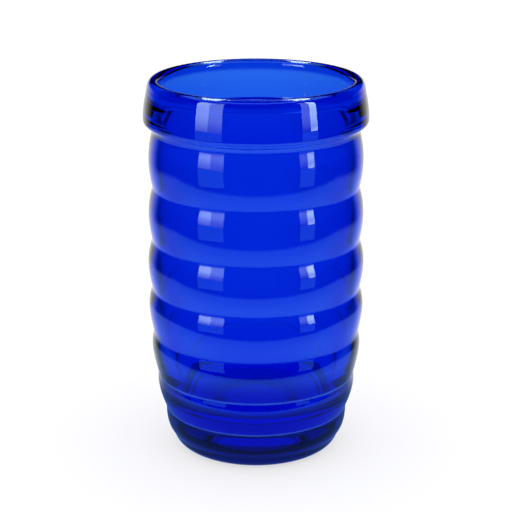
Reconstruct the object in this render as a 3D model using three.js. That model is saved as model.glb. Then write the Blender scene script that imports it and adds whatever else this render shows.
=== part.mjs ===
// A ringed drinking glass: a heavy-based cup of seven stacked convex rings,
// with a thick collar round its mouth.
// Millimetres, +Z up. The origin is on the table, on the glass's axis.

import * as THREE from 'three';

// Overall size, and how finely round shapes are cut
const HEIGHT = 140;
const SIDES = 48;
const ARC_STEP = 3.4;
const LEAST_STEPS = 4;
const SAME_POINT = 1e-6;

// Foot: a flat bearing ring round a shallow hollow, with a rounded outer edge
const FOOT_RADIUS = 31.6;
const FOOT_EDGE = 5.8;
const FOOT_EDGE_END = THREE.MathUtils.degToRad(-9.5);
const HOLLOW_RADIUS = 22;
const HOLLOW_DEPTH = 1.2;

// Rings from the base up. Each one swells out between the groove below it and the groove, or neck, above it.
// A lean above zero moves the fullest part of the swell up, and one below zero moves it down.
const RINGS = [
  { height: 15.00, swell: 0.98, lean: -0.42, topRadius: 34.20 },
  { height: 13.40, swell: 0.92, lean: 0.31, topRadius: 36.92 },
  { height: 15.85, swell: 1.08, lean: 0.50, topRadius: 38.42 },
  { height: 17.35, swell: 1.37, lean: 0.58, topRadius: 38.50 },
  { height: 18.50, swell: 1.60, lean: 0.22, topRadius: 38.26 },
  { height: 20.10, swell: 1.48, lean: 0.09, topRadius: 37.94 },
  { height: 20.75, swell: 1.39, lean: -0.02, topRadius: 37.90 },
];
const NECK_RADIUS = RINGS.at(-1).topRadius;

// Lip: a round bead that stands proud of the wall on the inside
const RIM_RADIUS = 39.35;
const LIP = 2.35;
const LIP_FROM = THREE.MathUtils.degToRad(9);
const LIP_TO = THREE.MathUtils.degToRad(225);
const LIP_CENTRE = new THREE.Vector2(RIM_RADIUS - LIP, HEIGHT - LIP);

// Collar: a band round the neck, widest near its lower edge, with an underside that slopes up outwards.
// Its face leaves the lower edge nearly upright and leans in to run smoothly into the lip.
// It meets the wall on a nearly upright joint, from the neck to the crest of the lip.
const COLLAR_RADIUS = 41.1;
const COLLAR_EDGE = 1.4;
const LEDGE_HEIGHT = 123.8;
const UNDERSIDE_FROM = 122.2;
const FACE_LOW = new THREE.Vector2(-0.02, 5.2);
const FACE_HIGH = new THREE.Vector2(0.62, -4);

// Inside: a short bore below the lip, then a wave that follows the rings a wall's thickness in,
// and a rounded corner down to a flat floor over the thick base
const BORE_RADIUS = 36.2;
const BORE_TOP = 132.5;
const BORE_BOTTOM = 127.8;
const LIP_RUN_OUT = 0.7;
const BORE_EASE = 1.7;
const WALL = 3.8;
const WALL_LOW = 5;
const GROOVE_FILL = 0.4;
const LOWEST_INSIDE_RING = 2;
const FLOOR_HEIGHT = 18;
const FLOOR_RADIUS = 22.5;
const CORNER_REACH = 29.5;
const CORNER_DROP = 5;
const CORNER_DRAW_IN = 0.8;

const COBALT_GLASS = { color: 0x0a2fd6, roughness: 0.04, metalness: 0 };

/** A point off the straight line between two grooves: a share of the way along it, and pushed out from it. */
function besideChord(bottom, top, share, push) {
  const along = top.clone().sub(bottom);
  const out = new THREE.Vector2(along.y, -along.x).normalize();
  return bottom.clone().addScaledVector(along, share).addScaledVector(out, push);
}

/** Adds the shallow hollow under the base, the bearing ring and the rounded edge of the foot. */
function drawFoot(path) {
  const radius = (HOLLOW_RADIUS ** 2 + HOLLOW_DEPTH ** 2) / (2 * HOLLOW_DEPTH);
  const spread = Math.asin(HOLLOW_RADIUS / radius);
  path.moveTo(0, HOLLOW_DEPTH);
  path.absarc(0, HOLLOW_DEPTH - radius, radius, Math.PI / 2, Math.PI / 2 - spread, true);
  path.lineTo(FOOT_RADIUS - FOOT_EDGE, 0);
  path.absarc(FOOT_RADIUS - FOOT_EDGE, FOOT_EDGE, FOOT_EDGE, -Math.PI / 2, FOOT_EDGE_END, false);
}

/** Adds the outside of the rings, from the foot up to the neck. */
function drawRings(path) {
  let level = 0;
  for (const { height, swell, lean, topRadius } of RINGS) {
    level += height;
    const bottom = path.currentPoint.clone();
    const top = new THREE.Vector2(topRadius, level);
    const low = besideChord(bottom, top, 1 / 3, swell * (1 - lean) * 4 / 3);
    const high = besideChord(bottom, top, 2 / 3, swell * (1 + lean) * 4 / 3);
    path.bezierCurveTo(low.x, low.y, high.x, high.y, top.x, top.y);
  }
}

/** The inside of the wall: its grooves, and between them the middles of its rings, from the lowest one up. */
function insidePoints() {
  const points = [];
  let level = 0;
  let below;
  for (const [index, { height, swell, topRadius }] of RINGS.entries()) {
    level += height;
    const wall = index < LOWEST_INSIDE_RING ? WALL_LOW : WALL - GROOVE_FILL;
    const groove = new THREE.Vector2(topRadius - wall, level);
    if (index >= LOWEST_INSIDE_RING) {
      points.push(besideChord(below, groove, 1 / 2, swell - GROOVE_FILL));
    }
    if (index >= LOWEST_INSIDE_RING - 1) {
      points.push(groove);
    }
    below = groove;
  }
  return points;
}

/** Adds the lip's share of the wall and the inside, down to the middle of the floor. */
function drawInside(path) {
  path.absarc(LIP_CENTRE.x, LIP_CENTRE.y, LIP, Math.PI / 2, LIP_TO, false);
  const lipEnd = path.currentPoint;
  path.bezierCurveTo(
    lipEnd.x + LIP_RUN_OUT, lipEnd.y - LIP_RUN_OUT,
    BORE_RADIUS, BORE_TOP + BORE_EASE,
    BORE_RADIUS, BORE_TOP,
  );
  path.lineTo(BORE_RADIUS, BORE_BOTTOM);
  path.splineThru(insidePoints().reverse());
  const low = path.currentPoint;
  path.bezierCurveTo(
    low.x - CORNER_DRAW_IN, low.y - CORNER_DROP,
    CORNER_REACH, FLOOR_HEIGHT,
    FLOOR_RADIUS, FLOOR_HEIGHT,
  );
  path.lineTo(0, FLOOR_HEIGHT);
}

function vesselProfile() {
  const path = new THREE.Path();
  drawFoot(path);
  drawRings(path);
  path.lineTo(NECK_RADIUS, UNDERSIDE_FROM);
  path.lineTo(LIP_CENTRE.x, HEIGHT);
  drawInside(path);
  return path;
}

function collarProfile() {
  const edge = new THREE.Vector2(COLLAR_RADIUS - COLLAR_EDGE, LEDGE_HEIGHT + COLLAR_EDGE);
  const path = new THREE.Path();
  path.moveTo(NECK_RADIUS, UNDERSIDE_FROM);
  path.lineTo(edge.x, LEDGE_HEIGHT);
  path.absarc(edge.x, edge.y, COLLAR_EDGE, -Math.PI / 2, 0, false);
  const low = path.currentPoint.clone().add(FACE_LOW);
  const top = new THREE.Vector2(LIP, 0).rotateAround(new THREE.Vector2(), LIP_FROM).add(LIP_CENTRE);
  const high = top.clone().add(FACE_HIGH);
  path.bezierCurveTo(low.x, low.y, high.x, high.y, top.x, top.y);
  path.absarc(LIP_CENTRE.x, LIP_CENTRE.y, LIP, LIP_FROM, Math.PI / 2, false);
  path.lineTo(NECK_RADIUS, UNDERSIDE_FROM);
  return path;
}

/** Points along a profile: a straight stretch keeps its ends, and a round one is cut into steps. */
function outline(path) {
  const points = [path.curves[0].getPoint(0)];
  for (const curve of path.curves) {
    const fine = Math.max(LEAST_STEPS, Math.round(curve.getLength() / ARC_STEP));
    const steps = curve.isLineCurve ? 1 : fine;
    const ahead = curve.getPoints(steps).filter((point) => point.distanceTo(points.at(-1)) > SAME_POINT);
    points.push(...ahead);
  }
  return points;
}

/** Turns a profile about the axis and stands it up along +Z. */
function turned(name, profile) {
  const geometry = new THREE.LatheGeometry(outline(profile), SIDES);
  geometry.rotateX(Math.PI / 2);
  const mesh = new THREE.Mesh(geometry, new THREE.MeshStandardMaterial(COBALT_GLASS));
  mesh.name = name;
  return mesh;
}

const glass = new THREE.Group();
glass.add(turned('vessel', vesselProfile()));
glass.add(turned('rim_collar', collarProfile()));

export default glass;
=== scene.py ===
"""A ringed cobalt drinking glass, in plain studio light. Lengths are in metres unless a comment says mm."""

import itertools
import math

import bpy
import numpy as np
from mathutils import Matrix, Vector


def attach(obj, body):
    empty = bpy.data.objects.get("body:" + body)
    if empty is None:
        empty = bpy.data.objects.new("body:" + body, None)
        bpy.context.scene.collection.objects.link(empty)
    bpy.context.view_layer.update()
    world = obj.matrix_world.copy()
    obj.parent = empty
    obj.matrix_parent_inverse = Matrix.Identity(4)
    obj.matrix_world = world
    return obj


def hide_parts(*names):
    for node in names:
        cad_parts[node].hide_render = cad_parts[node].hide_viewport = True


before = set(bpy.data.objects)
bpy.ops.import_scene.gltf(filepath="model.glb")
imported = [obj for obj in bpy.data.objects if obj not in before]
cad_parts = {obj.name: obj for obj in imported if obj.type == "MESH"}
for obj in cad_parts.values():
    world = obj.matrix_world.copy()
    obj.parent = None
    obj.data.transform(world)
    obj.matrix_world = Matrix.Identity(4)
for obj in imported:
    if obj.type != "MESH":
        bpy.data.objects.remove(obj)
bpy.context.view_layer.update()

MM = 0.001
WHITE = (1, 1, 1)

# Mesh fineness: sides round the axis, and in mm the step of the traced line and of the kept one
SIDES = 192
TRACE_STEP = 0.1
LEAST_ARC_STEPS = 6
KEPT_STEP = 1.2
KEPT_TURN = math.radians(2.5)

# The glass's own sizes, in mm. The main ones are as its solids have them.
HEIGHT = 140
FOOT_RADIUS = 31.6
FOOT_EDGE = 5.8
FOOT_EDGE_END = math.radians(-9.5)
HOLLOW_RADIUS = 22
HOLLOW_DEPTH = 1.2
# Rings from the base up: height, swell, lean of the swell to the top, radius of the groove or neck above
RINGS = (
    (15.0, 0.98, -0.42, 34.2),
    (13.4, 0.92, 0.31, 36.92),
    (15.85, 1.08, 0.50, 38.42),
    (17.35, 1.37, 0.58, 38.5),
    (18.5, 1.60, 0.22, 38.26),
    (20.1, 1.48, 0.09, 37.94),
    (20.75, 1.39, -0.02, 37.9),
)
GROOVE_LEVELS = tuple(itertools.accumulate(height for height, *_ in RINGS))
COLLAR_HEIGHT = 16.2
COLLAR_RADIUS = 41.1
COLLAR_EDGE = 1.4
LEDGE_HEIGHT = HEIGHT - COLLAR_HEIGHT
# Where the curve of the small cove under the collar heads, from the neck and back from the collar's edge
COVE_LOW = (0.4, 1.7)
COVE_HIGH = (-0.8, 0)
# Where the curve of the collar's face heads, from its foot and back from the lip
FACE_LOW = (-0.02, 5.2)
FACE_HIGH = (0.62, -4)
RIM_RADIUS = 39.35
LIP = 2.35
LIP_FROM = math.radians(9)
LIP_TO = math.radians(225)
# The short bore: how the lip runs out into it, how far below the lip's end it eases in and starts,
# and how far above the ledge it ends
LIP_RUN_OUT = (0.7, -0.7)
BORE_RADIUS = 36.2
BORE_EASE = 1.8
BORE_DROP = 3.5
BORE_RISE = 4
# The inside follows the rings, a little higher, down to this one, counted from the base
LOWEST_INSIDE_RING = 2
INSIDE_SHIFT = 0.5
WALL = 3.8
WALL_LOW = 5
# Below that it rounds in to the floor: where its curve heads, and how far out the floor draws it
CORNER_DRAW = (-0.8, -5)
CORNER_REACH = 29.5
FLOOR_HEIGHT = 18
FLOOR_RADIUS = 22.5
# A fine crease in each of the lowest grooves
CREASE_LEVELS = GROOVE_LEVELS[:2]
CREASE_DEPTH = 0.25
CREASE_WIDTH = 0.6
# How far along the line a corner is rounded, outside and inside, and how many times that far is averaged
SOFTENING = 0.7
SOFTENING_INSIDE = 1.6
SOFTENING_SPAN = 4

# The glass's surface: a dull worn ring where it stands, a painted highlight in each crease on the outside,
# as a thin line that lets less light through, and the slight waviness that fire polishing leaves
WORN_HEIGHT = 0.0003
WORN_ROUGHNESS = 0.5
# Painted highlight: half the width of the line in each crease, and how much less light it lets through
GROOVE_HIGHLIGHT_LINE = 0.00035
GROOVE_PAINTED_HIGHLIGHT = 0.17
OUTSIDE_FROM = 0.0335
WAVES_PER_METRE = 45
WAVE_DETAIL = 1
WAVE_HEIGHT = 0.00006

# The glass's colour where light crosses the surface, with painted shade: darker in the bead inside the lip,
# and round the edge of the foot for light that enters there. A pair is a height or radius where that starts,
# then is full.
WALL_COLOUR = (0.1, 0.32, 0.88)
# Painted shade: the darker colour of the bead inside the lip
BEAD_PAINTED_SHADE = (0.001, 0.04, 0.64)
BEAD_HEIGHT = (0.1353, 0.1369)
BEAD_RADIUS = (0.0378, 0.0366)
# Painted shade: the darker colour round the edge of the foot
FOOT_PAINTED_SHADE = (0.009, 0.028, 0.075)
FOOT_TOP = (0.0112, 0.0102)
# Its colour all through, which makes thick places darker than thin ones
DEPTH_COLOUR = (0.2, 0.578, 0.98)
DEPTH_DENSITY = 500
REFRACTIVE_INDEX = 1.5

# The floor as the camera sees it: grey paint that keeps the shadow, and light of its own that makes it white
FLOOR_HALF = 4
FLOOR_PAINT = (0.45, 0.45, 0.45)
FLOOR_OWN_LIGHT = 0.61
# Painted shadow on the floor under and round the foot, as seen through the glass: radius and colour
UNDER_REACH = 0.1
UNDER_PAINTED_SHADOW = (
    (0.0, (0.25, 0.42, 0.82)),
    (0.021, (0.25, 0.42, 0.82)),
    (0.023, (0.3, 0.45, 0.9)),
    (0.033, (0.3, 0.45, 0.9)),
    (0.04, (0.8, 0.85, 0.9)),
    (0.06, WHITE),
)
# Through the glass the floor has painted shade, dim to the left and right. Pairs go from none of that colour
# to all of it:
# the share of the way that lies forward or back, the distance where it starts, and the one where it ends.
SIDE_FLOOR_PAINTED_SHADE = (0.15, 0.17, 0.24)
SIDE_FLOOR_TURN = (0.85, 0.6)
SIDE_FLOOR_START = (0.08, 0.2)
SIDE_FLOOR_END = (1.1, 0.6)
# The dim floor close round the foot, in reflections: half its side, where it fades, how far under the floor
FOOT_SHADE_COLOUR = (0.08, 0.17, 0.55)
FOOT_SHADE_HALF = 0.12
FOOT_SHADE_FADE = (0.055, 0.1)
FOOT_SHADE_DROP = 0.0001

# Camera, from the photograph's outline of the glass
PHOTO_PIXELS = 512
FOCAL_PIXELS = 1660
SENSOR_MM = 36
CAMERA_DISTANCE = 0.6176
CAMERA_PITCH = math.radians(17.6)
CAMERA_AIM_HEIGHT = 0.07266

# What the glass mirrors: a dark room with a lit band of ceiling, and the lit floor below a slanted line.
# A pair is how far up or back a ray points, from -1 to 1, where a colour starts and where it is full.
ROOM_COLOUR = (0, 0, 0)
CEILING_COLOUR = (0.45, 1.2, 2.4)
CEILING_FROM = (0.7, 0.78)
CEILING_TO = (0.95, 0.9)
LIT_FLOOR_NEAR_COLOUR = (0.2, 0.75, 1.7)
LIT_FLOOR_BELOW_COLOUR = (0.42, 1.3, 2.6)
LIT_FLOOR_BACK_COLOUR = (0.29, 0.5, 1)
LIT_FLOOR_BACK = (-0.3, 0.4)
# The slanted line: its level, half its blur, how far below it the floor's colour is full, and its tilt,
# which grows no more for a ray that points back past the limit
LIT_FLOOR_FROM = -0.295
LIT_FLOOR_BLUR = 0.045
LIT_FLOOR_DEEP = 0.4
LIT_FLOOR_TILT = -0.197
LIT_FLOOR_TILT_LIMIT = 0.1
# The white backdrop in reflections
BACKDROP_BACK = (0.6, 0.95)
BACKDROP_TOP = (0.15, 0.0)
# Through the glass the room is white in front and behind, and dimmer above that and at the sides
ROOM_ABOVE_COLOUR = (0.65, 0.72, 1)
ROOM_ABOVE = (0.12, 0.32)
ROOM_SIDE_COLOUR = (0.55, 0.6, 0.75)
ROOM_STRAIGHT = (0.25, 0.55)

# Lamps on upright cards: two azimuths left of the camera, in degrees, and the light at the foot and the top
LAMPS = {
    "left_bright": (62, 48, 1.6, 8),
    "left_dim": (48, 33.5, 0.9, 3.7),
    "right_bright": (-63, -55, 9, 13),
    "right_dim": (-55, -46, 0.1, 2.5),
}
LAMP_COLOUR = (0.72, 1, 1.1)
LAMP_DISTANCE = 1.2
LAMP_FOOT = 0.065
# How the light grows: height above the lamp's foot, and share of the light at its top
LAMP_GROWTH = ((0.1, 0.43), (0.26, 1), (0.8, 1))
# Below the lamp its card is dim, down to a level under the floor, with a sharp edge
LAMP_CARD_COLOUR = (0.16, 0.64, 1.3)
LAMP_CARD_FOOT = -0.3
LAMP_CARD_EDGE = 0.001
# A card's colours are shares of this strength
CARD_STRENGTH = 16
# Two lamps high over the back of the glass, which the lip mirrors: the left one's middle, and half its
# length and width
ROOF_LAMP_MIDDLE = (-0.35, 0.386, 1.14)
ROOF_LAMP_LONG = (0.14, 0.35)
ROOF_LAMP_WIDE = (0.077, -0.078)
ROOF_LAMP_LIGHT = 15

# A Mix node's two colours and its result go by number, because each of its data types has its own
MIX_FIRST = 6
MIX_SECOND = 7
MIX_RESULT = 2


def arc(centre, radius, start, end):
    """Points on a circular arc, in mm."""
    count = max(LEAST_ARC_STEPS, math.ceil(abs(end - start) * radius / TRACE_STEP))
    points = []
    for i in range(count + 1):
        angle = start + (end - start) * i / count
        points.append((centre[0] + radius * math.cos(angle), centre[1] + radius * math.sin(angle)))
    return points


def beside(point, step):
    """The point a step away from another."""
    return point[0] + step[0], point[1] + step[1]


def bezier(a, b, c, d):
    """Points on a cubic curve, in mm."""
    count = math.ceil(math.dist(a, d) / TRACE_STEP)
    points = []
    for i in range(count + 1):
        t = i / count
        weights = ((1 - t) ** 3, 3 * t * (1 - t) ** 2, 3 * t * t * (1 - t), t ** 3)
        points.append(tuple(sum(w * p[k] for w, p in zip(weights, (a, b, c, d))) for k in (0, 1)))
    return points


def ring(bottom, top, swell, lean):
    """Points of one ring: a curve that swells out over the straight line between two grooves."""
    along = (top[0] - bottom[0], top[1] - bottom[1])
    length = math.hypot(*along)
    out = (along[1] / length, -along[0] / length)
    handles = []
    # The curve swells to three quarters of what its handles are pushed out by
    for share, push in ((1 / 3, swell * (1 - lean) * 4 / 3), (2 / 3, swell * (1 + lean) * 4 / 3)):
        handles.append(tuple(bottom[k] + along[k] * share + out[k] * push for k in (0, 1)))
    return bezier(bottom, *handles, top)


def foot_line():
    """The shallow hollow under the base, the bearing ring and the rounded edge of the foot."""
    hollow = (HOLLOW_RADIUS ** 2 + HOLLOW_DEPTH ** 2) / (2 * HOLLOW_DEPTH)
    spread = math.asin(HOLLOW_RADIUS / hollow)
    points = arc((0, HOLLOW_DEPTH - hollow), hollow, math.pi / 2, math.pi / 2 - spread)
    return points + arc((FOOT_RADIUS - FOOT_EDGE, FOOT_EDGE), FOOT_EDGE, -math.pi / 2, FOOT_EDGE_END)


def outside_line():
    """The outside of the wall, from the middle of the underside up to the collar's rounded lower edge."""
    points = foot_line()
    for level, (_, swell, lean, top_radius) in zip(GROOVE_LEVELS, RINGS):
        points += ring(points[-1], (top_radius, level), swell, lean)
    neck = points[-1]
    edge = (COLLAR_RADIUS - COLLAR_EDGE, LEDGE_HEIGHT)
    points += bezier(neck, beside(neck, COVE_LOW), beside(edge, COVE_HIGH), edge)
    return points + arc(beside(edge, (0, COLLAR_EDGE)), COLLAR_EDGE, -math.pi / 2, 0)


def inside_line():
    """The inside of the wall where it follows the rings, from its lowest groove up to the neck."""
    points = []
    for number, (level, (_, swell, lean, top_radius)) in enumerate(zip(GROOVE_LEVELS, RINGS)):
        if number < LOWEST_INSIDE_RING:
            points = [(top_radius - WALL_LOW, level + INSIDE_SHIFT)]
        else:
            points += ring(points[-1], (top_radius - WALL, level + INSIDE_SHIFT), swell, lean)
    return points


def glass_line():
    """The whole wall in one line, from the middle of the underside round to the middle of the floor."""
    points = outside_line()
    lip = arc((RIM_RADIUS - LIP, HEIGHT - LIP), LIP, LIP_FROM, LIP_TO)
    foot, top, end = points[-1], lip[0], lip[-1]
    points += bezier(foot, beside(foot, FACE_LOW), beside(top, FACE_HIGH), top)
    points += lip
    bore_top = (BORE_RADIUS, end[1] - BORE_DROP)
    bore_bottom = (BORE_RADIUS, LEDGE_HEIGHT + BORE_RISE)
    points += bezier(end, beside(end, LIP_RUN_OUT), (BORE_RADIUS, end[1] - BORE_EASE), bore_top)
    inside = inside_line()
    low, high = inside[0], inside[-1]
    points += bezier(bore_bottom, (BORE_RADIUS, LEDGE_HEIGHT), high, high)
    points += inside[::-1]
    floor_edge = (FLOOR_RADIUS, FLOOR_HEIGHT)
    points += bezier(low, beside(low, CORNER_DRAW), (CORNER_REACH, FLOOR_HEIGHT), floor_edge)
    points.append((0, FLOOR_HEIGHT))
    return points


def evenly(points):
    """The same line with a point every trace step along it."""
    line = np.array(points)
    far = np.concatenate([[0], np.cumsum(np.hypot(*np.diff(line, axis=0).T))])
    steps = np.linspace(0, far[-1], math.ceil(far[-1] / TRACE_STEP) + 1)
    return np.column_stack([np.interp(steps, far, line[:, 0]), np.interp(steps, far, line[:, 1])])


def softened(line, reach):
    """The line with its corners rounded, as fire polishing leaves them. Its ends stay on the axis."""
    count = round(SOFTENING_SPAN * reach / TRACE_STEP)
    offsets = np.arange(-count, count + 1) * TRACE_STEP
    weights = np.exp(-0.5 * (offsets / reach) ** 2)
    weights /= weights.sum()
    before = line[1:count + 1][::-1] * (-1, 1)
    after = line[-count - 1:-1][::-1] * (-1, 1)
    padded = np.vstack([before, line, after])
    return np.column_stack([np.convolve(padded[:, k], weights, "valid") for k in (0, 1)])


def kept_points(line):
    """Fewer points: one wherever the line has turned or run far enough since the last."""
    out = [line[0]]
    heading = line[1] - line[0]
    for here, ahead in zip(line[1:-1], line[2:]):
        way = ahead - here
        turn = abs(math.atan2(heading[0] * way[1] - heading[1] * way[0], float(heading @ way)))
        if turn > KEPT_TURN or math.dist(out[-1], here) > KEPT_STEP:
            out.append(here)
            heading = way
    out.append(line[-1])
    return out


def polished_line():
    """The wall's line with its creases, and its corners rounded, more on the inside than on the outside."""
    line = evenly(glass_line())
    top = int(line[:, 1].argmax())
    for level in CREASE_LEVELS:
        line[:top, 0] -= CREASE_DEPTH * np.exp(-((line[:top, 1] - level) / CREASE_WIDTH) ** 2)
    cut = top + int(np.argmax(line[top:, 1] < HEIGHT - COLLAR_HEIGHT / 2))
    outside, inside = softened(line, SOFTENING), softened(line, SOFTENING_INSIDE)
    return kept_points(np.vstack([outside[:cut], inside[cut:]]))


def turned_mesh(name, points):
    """A closed mesh turned about Z from a line, in mm, that starts and ends on the axis."""
    inner = points[1:-1]
    verts = [(0, 0, points[0][1] * MM)]
    for r, z in inner:
        for i in range(SIDES):
            angle = 2 * math.pi * i / SIDES
            verts.append((r * MM * math.cos(angle), r * MM * math.sin(angle), z * MM))
    verts.append((0, 0, points[-1][1] * MM))
    last = len(verts) - 1
    faces = []
    for i in range(SIDES):
        j = (i + 1) % SIDES
        faces.append((0, 1 + j, 1 + i))
        for k in range(len(inner) - 1):
            low = 1 + k * SIDES
            high = low + SIDES
            faces.append((low + i, low + j, high + j, high + i))
        top = 1 + (len(inner) - 1) * SIDES
        faces.append((top + i, top + j, last))
    mesh = bpy.data.meshes.new(name)
    mesh.from_pydata(verts, [], faces)
    mesh.shade_smooth()
    piece = bpy.data.objects.new(name, mesh)
    bpy.context.collection.objects.link(piece)
    return piece


class Nodes:
    """Short ways to add nodes to one node tree. An input takes a plain value or another node's output."""

    def __init__(self, tree):
        tree.nodes.clear()
        self.tree = tree

    def add(self, kind, inputs=(), **settings):
        """A new node, with its settings, and its inputs by name or number."""
        node = self.tree.nodes.new(kind)
        for name, value in settings.items():
            setattr(node, name, value)
        for key, value in dict(inputs).items():
            socket = node.inputs[key]
            if isinstance(value, bpy.types.NodeSocket):
                self.tree.links.new(value, socket)
            elif socket.type == "RGBA":
                socket.default_value = (*value, 1)
            else:
                socket.default_value = value
        return node

    def maths(self, operation, *values, clamp=False):
        """The result of one operation on numbers."""
        node = self.add("ShaderNodeMath", enumerate(values), operation=operation, use_clamp=clamp)
        return node.outputs[0]

    def vector(self, operation, *values):
        """The outputs of a vector operation: Vector, and Value for a length."""
        return self.add("ShaderNodeVectorMath", enumerate(values), operation=operation).outputs

    def split(self, vector):
        """The X, Y and Z of a vector."""
        return self.add("ShaderNodeSeparateXYZ", {0: vector}).outputs

    def ramp(self, value, start, end, top=1, kind="SMOOTHSTEP"):
        """Goes from 0 to the top while a value goes from start to end."""
        inputs = {"Value": value, "From Min": start, "From Max": end, "To Max": top}
        return self.add("ShaderNodeMapRange", inputs, interpolation_type=kind).outputs["Result"]

    def blend(self, share, first, second):
        """A colour that goes from the first to the second as the share grows."""
        inputs = {"Factor": share, MIX_FIRST: first, MIX_SECOND: second}
        return self.add("ShaderNodeMix", inputs, data_type="RGBA").outputs[MIX_RESULT]

    def shades(self, value, low, high, stops):
        """A colour that changes with a value from low to high, by stops of a value and a colour."""
        node = self.add("ShaderNodeValToRGB", {"Fac": self.ramp(value, low, high, kind="LINEAR")})
        elements = node.color_ramp.elements
        for i, (place, colour) in enumerate(stops):
            stop = elements[i] if i < len(elements) else elements.new(1)
            stop.position = (place - low) / (high - low)
            stop.color = (*colour, 1)
        return node.outputs["Color"]

    def light(self, colour, strength=1):
        """A shader that only gives off light."""
        return self.add("ShaderNodeEmission", {"Color": colour, "Strength": strength}).outputs[0]

    def mix(self, share, first, second):
        """A shader that goes from the first to the second as the share grows."""
        return self.add("ShaderNodeMixShader", {"Fac": share, 1: first, 2: second}).outputs[0]


def new_material(name):
    """A material and its empty node tree."""
    material = bpy.data.materials.new(name)
    material.use_nodes = True
    return material, Nodes(material.node_tree)


def glass_colour_and_painted_shade(nodes, height, radius):
    """Cobalt blue, with painted shade deeper in the bead inside the lip, and round the foot for light that
    enters there.
    """
    # Painted shade in the bead inside the lip
    bead = nodes.maths("MULTIPLY", nodes.ramp(height, *BEAD_HEIGHT), nodes.ramp(radius, *BEAD_RADIUS))
    wall = nodes.blend(bead, WALL_COLOUR, BEAD_PAINTED_SHADE)
    # Painted shade round the foot, only where light enters the glass from outside
    leaving = nodes.add("ShaderNodeNewGeometry").outputs["Backfacing"]
    foot = nodes.maths("SUBTRACT", nodes.ramp(height, *FOOT_TOP), leaving, clamp=True)
    return nodes.blend(foot, wall, FOOT_PAINTED_SHADE)


def clearness_and_painted_highlight(nodes, height, radius):
    """Fully clear, apart from a painted highlight: a thin line in each crease on the outside that lets less
    light through.
    """
    outside = nodes.maths("GREATER_THAN", radius, OUTSIDE_FROM)
    # Painted highlight: a line in each crease lets less light through
    highlight_loss = nodes.maths("MULTIPLY", outside, -GROOVE_PAINTED_HIGHLIGHT)
    clear = 1
    for level in CREASE_LEVELS:
        line = nodes.maths("COMPARE", height, level * MM, GROOVE_HIGHLIGHT_LINE)
        clear = nodes.maths("MULTIPLY_ADD", line, highlight_loss, clear)
    return clear


def cobalt_glass():
    """Clear glass coloured all through, with a slight waviness, and worn dull where it stands."""
    material, nodes = new_material("cobalt_glass")
    place = nodes.add("ShaderNodeTexCoord").outputs["Object"]
    _, _, height = nodes.split(place)
    radius = nodes.vector("LENGTH", nodes.vector("MULTIPLY", place, (1, 1, 0))["Vector"])["Value"]
    noise = {"Vector": place, "Scale": WAVES_PER_METRE, "Detail": WAVE_DETAIL}
    waves = nodes.add("ShaderNodeTexNoise", noise).outputs["Fac"]
    bump = nodes.add("ShaderNodeBump", {"Height": waves, "Distance": WAVE_HEIGHT, "Strength": 1})
    shader = nodes.add("ShaderNodeBsdfPrincipled", {
        "Base Color": glass_colour_and_painted_shade(nodes, height, radius),
        "Roughness": nodes.ramp(height, WORN_HEIGHT, 0, top=WORN_ROUGHNESS, kind="LINEAR"),
        "IOR": REFRACTIVE_INDEX,
        "Transmission Weight": clearness_and_painted_highlight(nodes, height, radius),
        "Normal": bump.outputs["Normal"],
    })
    depth = nodes.add("ShaderNodeVolumeAbsorption", {"Color": DEPTH_COLOUR, "Density": DEPTH_DENSITY})
    nodes.add("ShaderNodeOutputMaterial", {"Surface": shader.outputs[0], "Volume": depth.outputs[0]})
    return material


def floor_through_glass(nodes):
    """The floor's colour through the glass: a blue painted shadow under the foot, painted shade to the left
    and right, else white.
    """
    place = nodes.add("ShaderNodeNewGeometry").outputs["Position"]
    reach = nodes.vector("LENGTH", place)["Value"]
    # Painted shadow under and round the foot
    under = nodes.shades(reach, 0, UNDER_REACH, UNDER_PAINTED_SHADOW)
    _, back, _ = nodes.split(nodes.vector("NORMALIZE", place)["Vector"])
    # Painted shade to the left and right
    aside = nodes.ramp(nodes.maths("ABSOLUTE", back), *SIDE_FLOOR_TURN)
    aside = nodes.maths("MULTIPLY", aside, nodes.ramp(reach, *SIDE_FLOOR_START))
    aside = nodes.maths("MULTIPLY", aside, nodes.ramp(reach, *SIDE_FLOOR_END))
    return nodes.blend(aside, under, SIDE_FLOOR_PAINTED_SHADE)


def white_floor():
    """White paint that keeps the soft shadow of the glass, and shows painted shadow and shade of its own
    through the glass.
    """
    material, nodes = new_material("white_floor")
    paint = nodes.add("ShaderNodeBsdfDiffuse", {"Color": FLOOR_PAINT}).outputs[0]
    lit = nodes.add("ShaderNodeAddShader", {0: paint, 1: nodes.light(WHITE, FLOOR_OWN_LIGHT)}).outputs[0]
    through = nodes.add("ShaderNodeLightPath").outputs["Is Transmission Ray"]
    surface = nodes.mix(through, lit, nodes.light(floor_through_glass(nodes)))
    nodes.add("ShaderNodeOutputMaterial", {"Surface": surface})
    return material


def foot_shade():
    """Dim light close round the foot that fades out to nothing."""
    material, nodes = new_material("foot_shade")
    reach = nodes.vector("LENGTH", nodes.add("ShaderNodeNewGeometry").outputs["Position"])["Value"]
    clear = nodes.add("ShaderNodeBsdfTransparent").outputs[0]
    surface = nodes.mix(nodes.ramp(reach, *FOOT_SHADE_FADE), nodes.light(FOOT_SHADE_COLOUR), clear)
    nodes.add("ShaderNodeOutputMaterial", {"Surface": surface})
    return material


def card_paint(name, bands):
    """Light that changes with height: a list of heights and colours."""
    material, nodes = new_material(name)
    _, _, height = nodes.split(nodes.add("ShaderNodeNewGeometry").outputs["Position"])
    stops = [(level, tuple(part / CARD_STRENGTH for part in colour)) for level, colour in bands]
    colour = nodes.shades(height, bands[0][0], bands[-1][0], stops)
    nodes.add("ShaderNodeOutputMaterial", {"Surface": nodes.light(colour, CARD_STRENGTH)})
    return material


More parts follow.
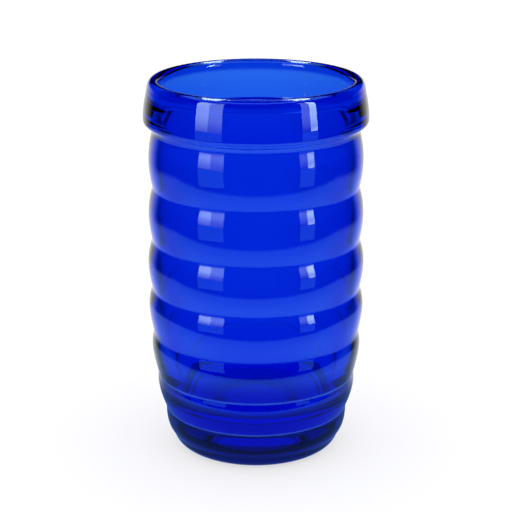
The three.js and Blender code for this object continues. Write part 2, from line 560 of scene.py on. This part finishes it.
def stage_face(name, corners, material):
    """A flat face of the surroundings."""
    mesh = bpy.data.meshes.new(name)
    mesh.from_pydata(corners, [], [(0, 1, 2, 3)])
    mesh.materials.append(material)
    made = bpy.data.objects.new(name, mesh)
    bpy.context.collection.objects.link(made)
    return made


def sheet(name, half, material):
    """A square on the floor, round the foot of the glass."""
    corners = [(-half, -half, 0), (half, -half, 0), (half, half, 0), (-half, half, 0)]
    return stage_face(name, corners, material)


def show_only_in_reflections(thing):
    thing.visible_camera = False
    thing.visible_diffuse = False
    thing.visible_transmission = False
    thing.visible_shadow = False


def lamp_colour(strength):
    return tuple(part * strength for part in LAMP_COLOUR)


def upright_lamp(name, from_azimuth, to_azimuth, foot_light, top_light):
    """A lamp on an upright card, between two azimuths to the left of the camera, in degrees."""
    bands = [(LAMP_CARD_FOOT, LAMP_CARD_COLOUR), (LAMP_FOOT - LAMP_CARD_EDGE, LAMP_CARD_COLOUR)]
    bands.append((LAMP_FOOT, lamp_colour(foot_light)))
    for rise, share in LAMP_GROWTH:
        bands.append((LAMP_FOOT + rise, lamp_colour(share * top_light)))
    low, high = bands[0][0], bands[-1][0]
    ends = []
    for azimuth in (from_azimuth, to_azimuth):
        turn = math.radians(azimuth)
        ends.append((-math.sin(turn) * LAMP_DISTANCE, -math.cos(turn) * LAMP_DISTANCE))
    start, end = ends
    corners = [(*start, low), (*end, low), (*end, high), (*start, high)]
    show_only_in_reflections(stage_face(name, corners, card_paint(name, bands)))


def roof_lamp(name, side):
    """A lamp high over the back of the glass, on its left for side 1 and on its right for side -1."""
    x, y, z = ROOF_LAMP_MIDDLE
    corners = []
    for along, across in ((-1, -1), (-1, 1), (1, 1), (1, -1)):
        corners.append((side * (x + ROOF_LAMP_LONG[0] * along + ROOF_LAMP_WIDE[0] * across),
                        y + ROOF_LAMP_LONG[1] * along + ROOF_LAMP_WIDE[1] * across, z))
    colour = lamp_colour(ROOF_LAMP_LIGHT)
    # The same light at every height, from the floor to well over the lamp
    bands = ((0, colour), (2 * z, colour))
    show_only_in_reflections(stage_face(name, corners, card_paint(name, bands)))


def mirrored_room(nodes, back, height):
    """The room in reflections: dark, with a lit band of ceiling, the lit floor and the white backdrop."""
    # How high a ray points, on a scale that slants with how far back it points
    slanted = nodes.maths("MINIMUM", back, LIT_FLOOR_TILT_LIMIT)
    slanted = nodes.maths("MULTIPLY_ADD", slanted, LIT_FLOOR_TILT, height)
    deep = nodes.ramp(slanted, LIT_FLOOR_FROM, LIT_FLOOR_FROM - LIT_FLOOR_DEEP)
    floor = nodes.blend(deep, LIT_FLOOR_NEAR_COLOUR, LIT_FLOOR_BELOW_COLOUR)
    floor = nodes.blend(nodes.ramp(back, *LIT_FLOOR_BACK), floor, LIT_FLOOR_BACK_COLOUR)
    ceiling = nodes.blend(nodes.ramp(height, *CEILING_TO), ROOM_COLOUR, CEILING_COLOUR)
    room = nodes.blend(nodes.ramp(height, *CEILING_FROM), ROOM_COLOUR, ceiling)
    below = nodes.ramp(slanted, LIT_FLOOR_FROM + LIT_FLOOR_BLUR, LIT_FLOOR_FROM - LIT_FLOOR_BLUR)
    room = nodes.blend(below, room, floor)
    behind = nodes.maths("MULTIPLY", nodes.ramp(back, *BACKDROP_BACK), nodes.ramp(height, *BACKDROP_TOP))
    return nodes.blend(behind, room, WHITE)


def room_through_glass(nodes, back, height):
    """The room through the glass: white in front and behind, and dimmer above that and at the sides."""
    room = nodes.blend(nodes.ramp(height, *ROOM_ABOVE), WHITE, ROOM_ABOVE_COLOUR)
    straight = nodes.ramp(nodes.maths("ABSOLUTE", back), *ROOM_STRAIGHT)
    return nodes.blend(straight, ROOM_SIDE_COLOUR, room)


def make_world():
    """White all round, with a room of its own for reflections and one for what is seen through the glass."""
    world = bpy.data.worlds.new("studio")
    bpy.context.scene.world = world
    world.use_nodes = True
    nodes = Nodes(world.node_tree)
    _, back, height = nodes.split(nodes.add("ShaderNodeTexCoord").outputs["Generated"])
    rays = nodes.add("ShaderNodeLightPath").outputs
    through = rays["Is Transmission Ray"]
    mirrored = nodes.maths("SUBTRACT", rays["Is Glossy Ray"], through, clamp=True)
    colour = nodes.blend(through, WHITE, room_through_glass(nodes, back, height))
    colour = nodes.blend(mirrored, colour, mirrored_room(nodes, back, height))
    light = nodes.add("ShaderNodeBackground", {"Color": colour})
    nodes.add("ShaderNodeOutputWorld", {"Surface": light.outputs[0]})


def make_camera():
    """The photograph's camera, in front of the glass."""
    data = bpy.data.cameras.new("camera")
    data.sensor_width = SENSOR_MM
    data.lens = FOCAL_PIXELS / PHOTO_PIXELS * SENSOR_MM
    camera = bpy.data.objects.new("camera", data)
    away = Vector((0, -math.cos(CAMERA_PITCH), math.sin(CAMERA_PITCH)))
    camera.location = Vector((0, 0, CAMERA_AIM_HEIGHT)) + away * CAMERA_DISTANCE
    camera.rotation_euler = (math.pi / 2 - CAMERA_PITCH, 0, 0)
    bpy.context.collection.objects.link(camera)
    bpy.context.scene.camera = camera


# Surroundings
bpy.context.scene.view_settings.view_transform = "Standard"
make_camera()
make_world()
floor = sheet("floor", FLOOR_HALF, white_floor())
floor.visible_glossy = False
for lamp, settings in LAMPS.items():
    upright_lamp(lamp, *settings)
roof_lamp("left_roof", 1)
roof_lamp("right_roof", -1)
shade = sheet("foot_shade", FOOT_SHADE_HALF, foot_shade())
shade.location.z = -FOOT_SHADE_DROP
show_only_in_reflections(shade)

# The glass
glass = turned_mesh("glass", polished_line())
glass.data.materials.append(cobalt_glass())
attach(glass, "root")
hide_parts("vessel", "rim_collar")
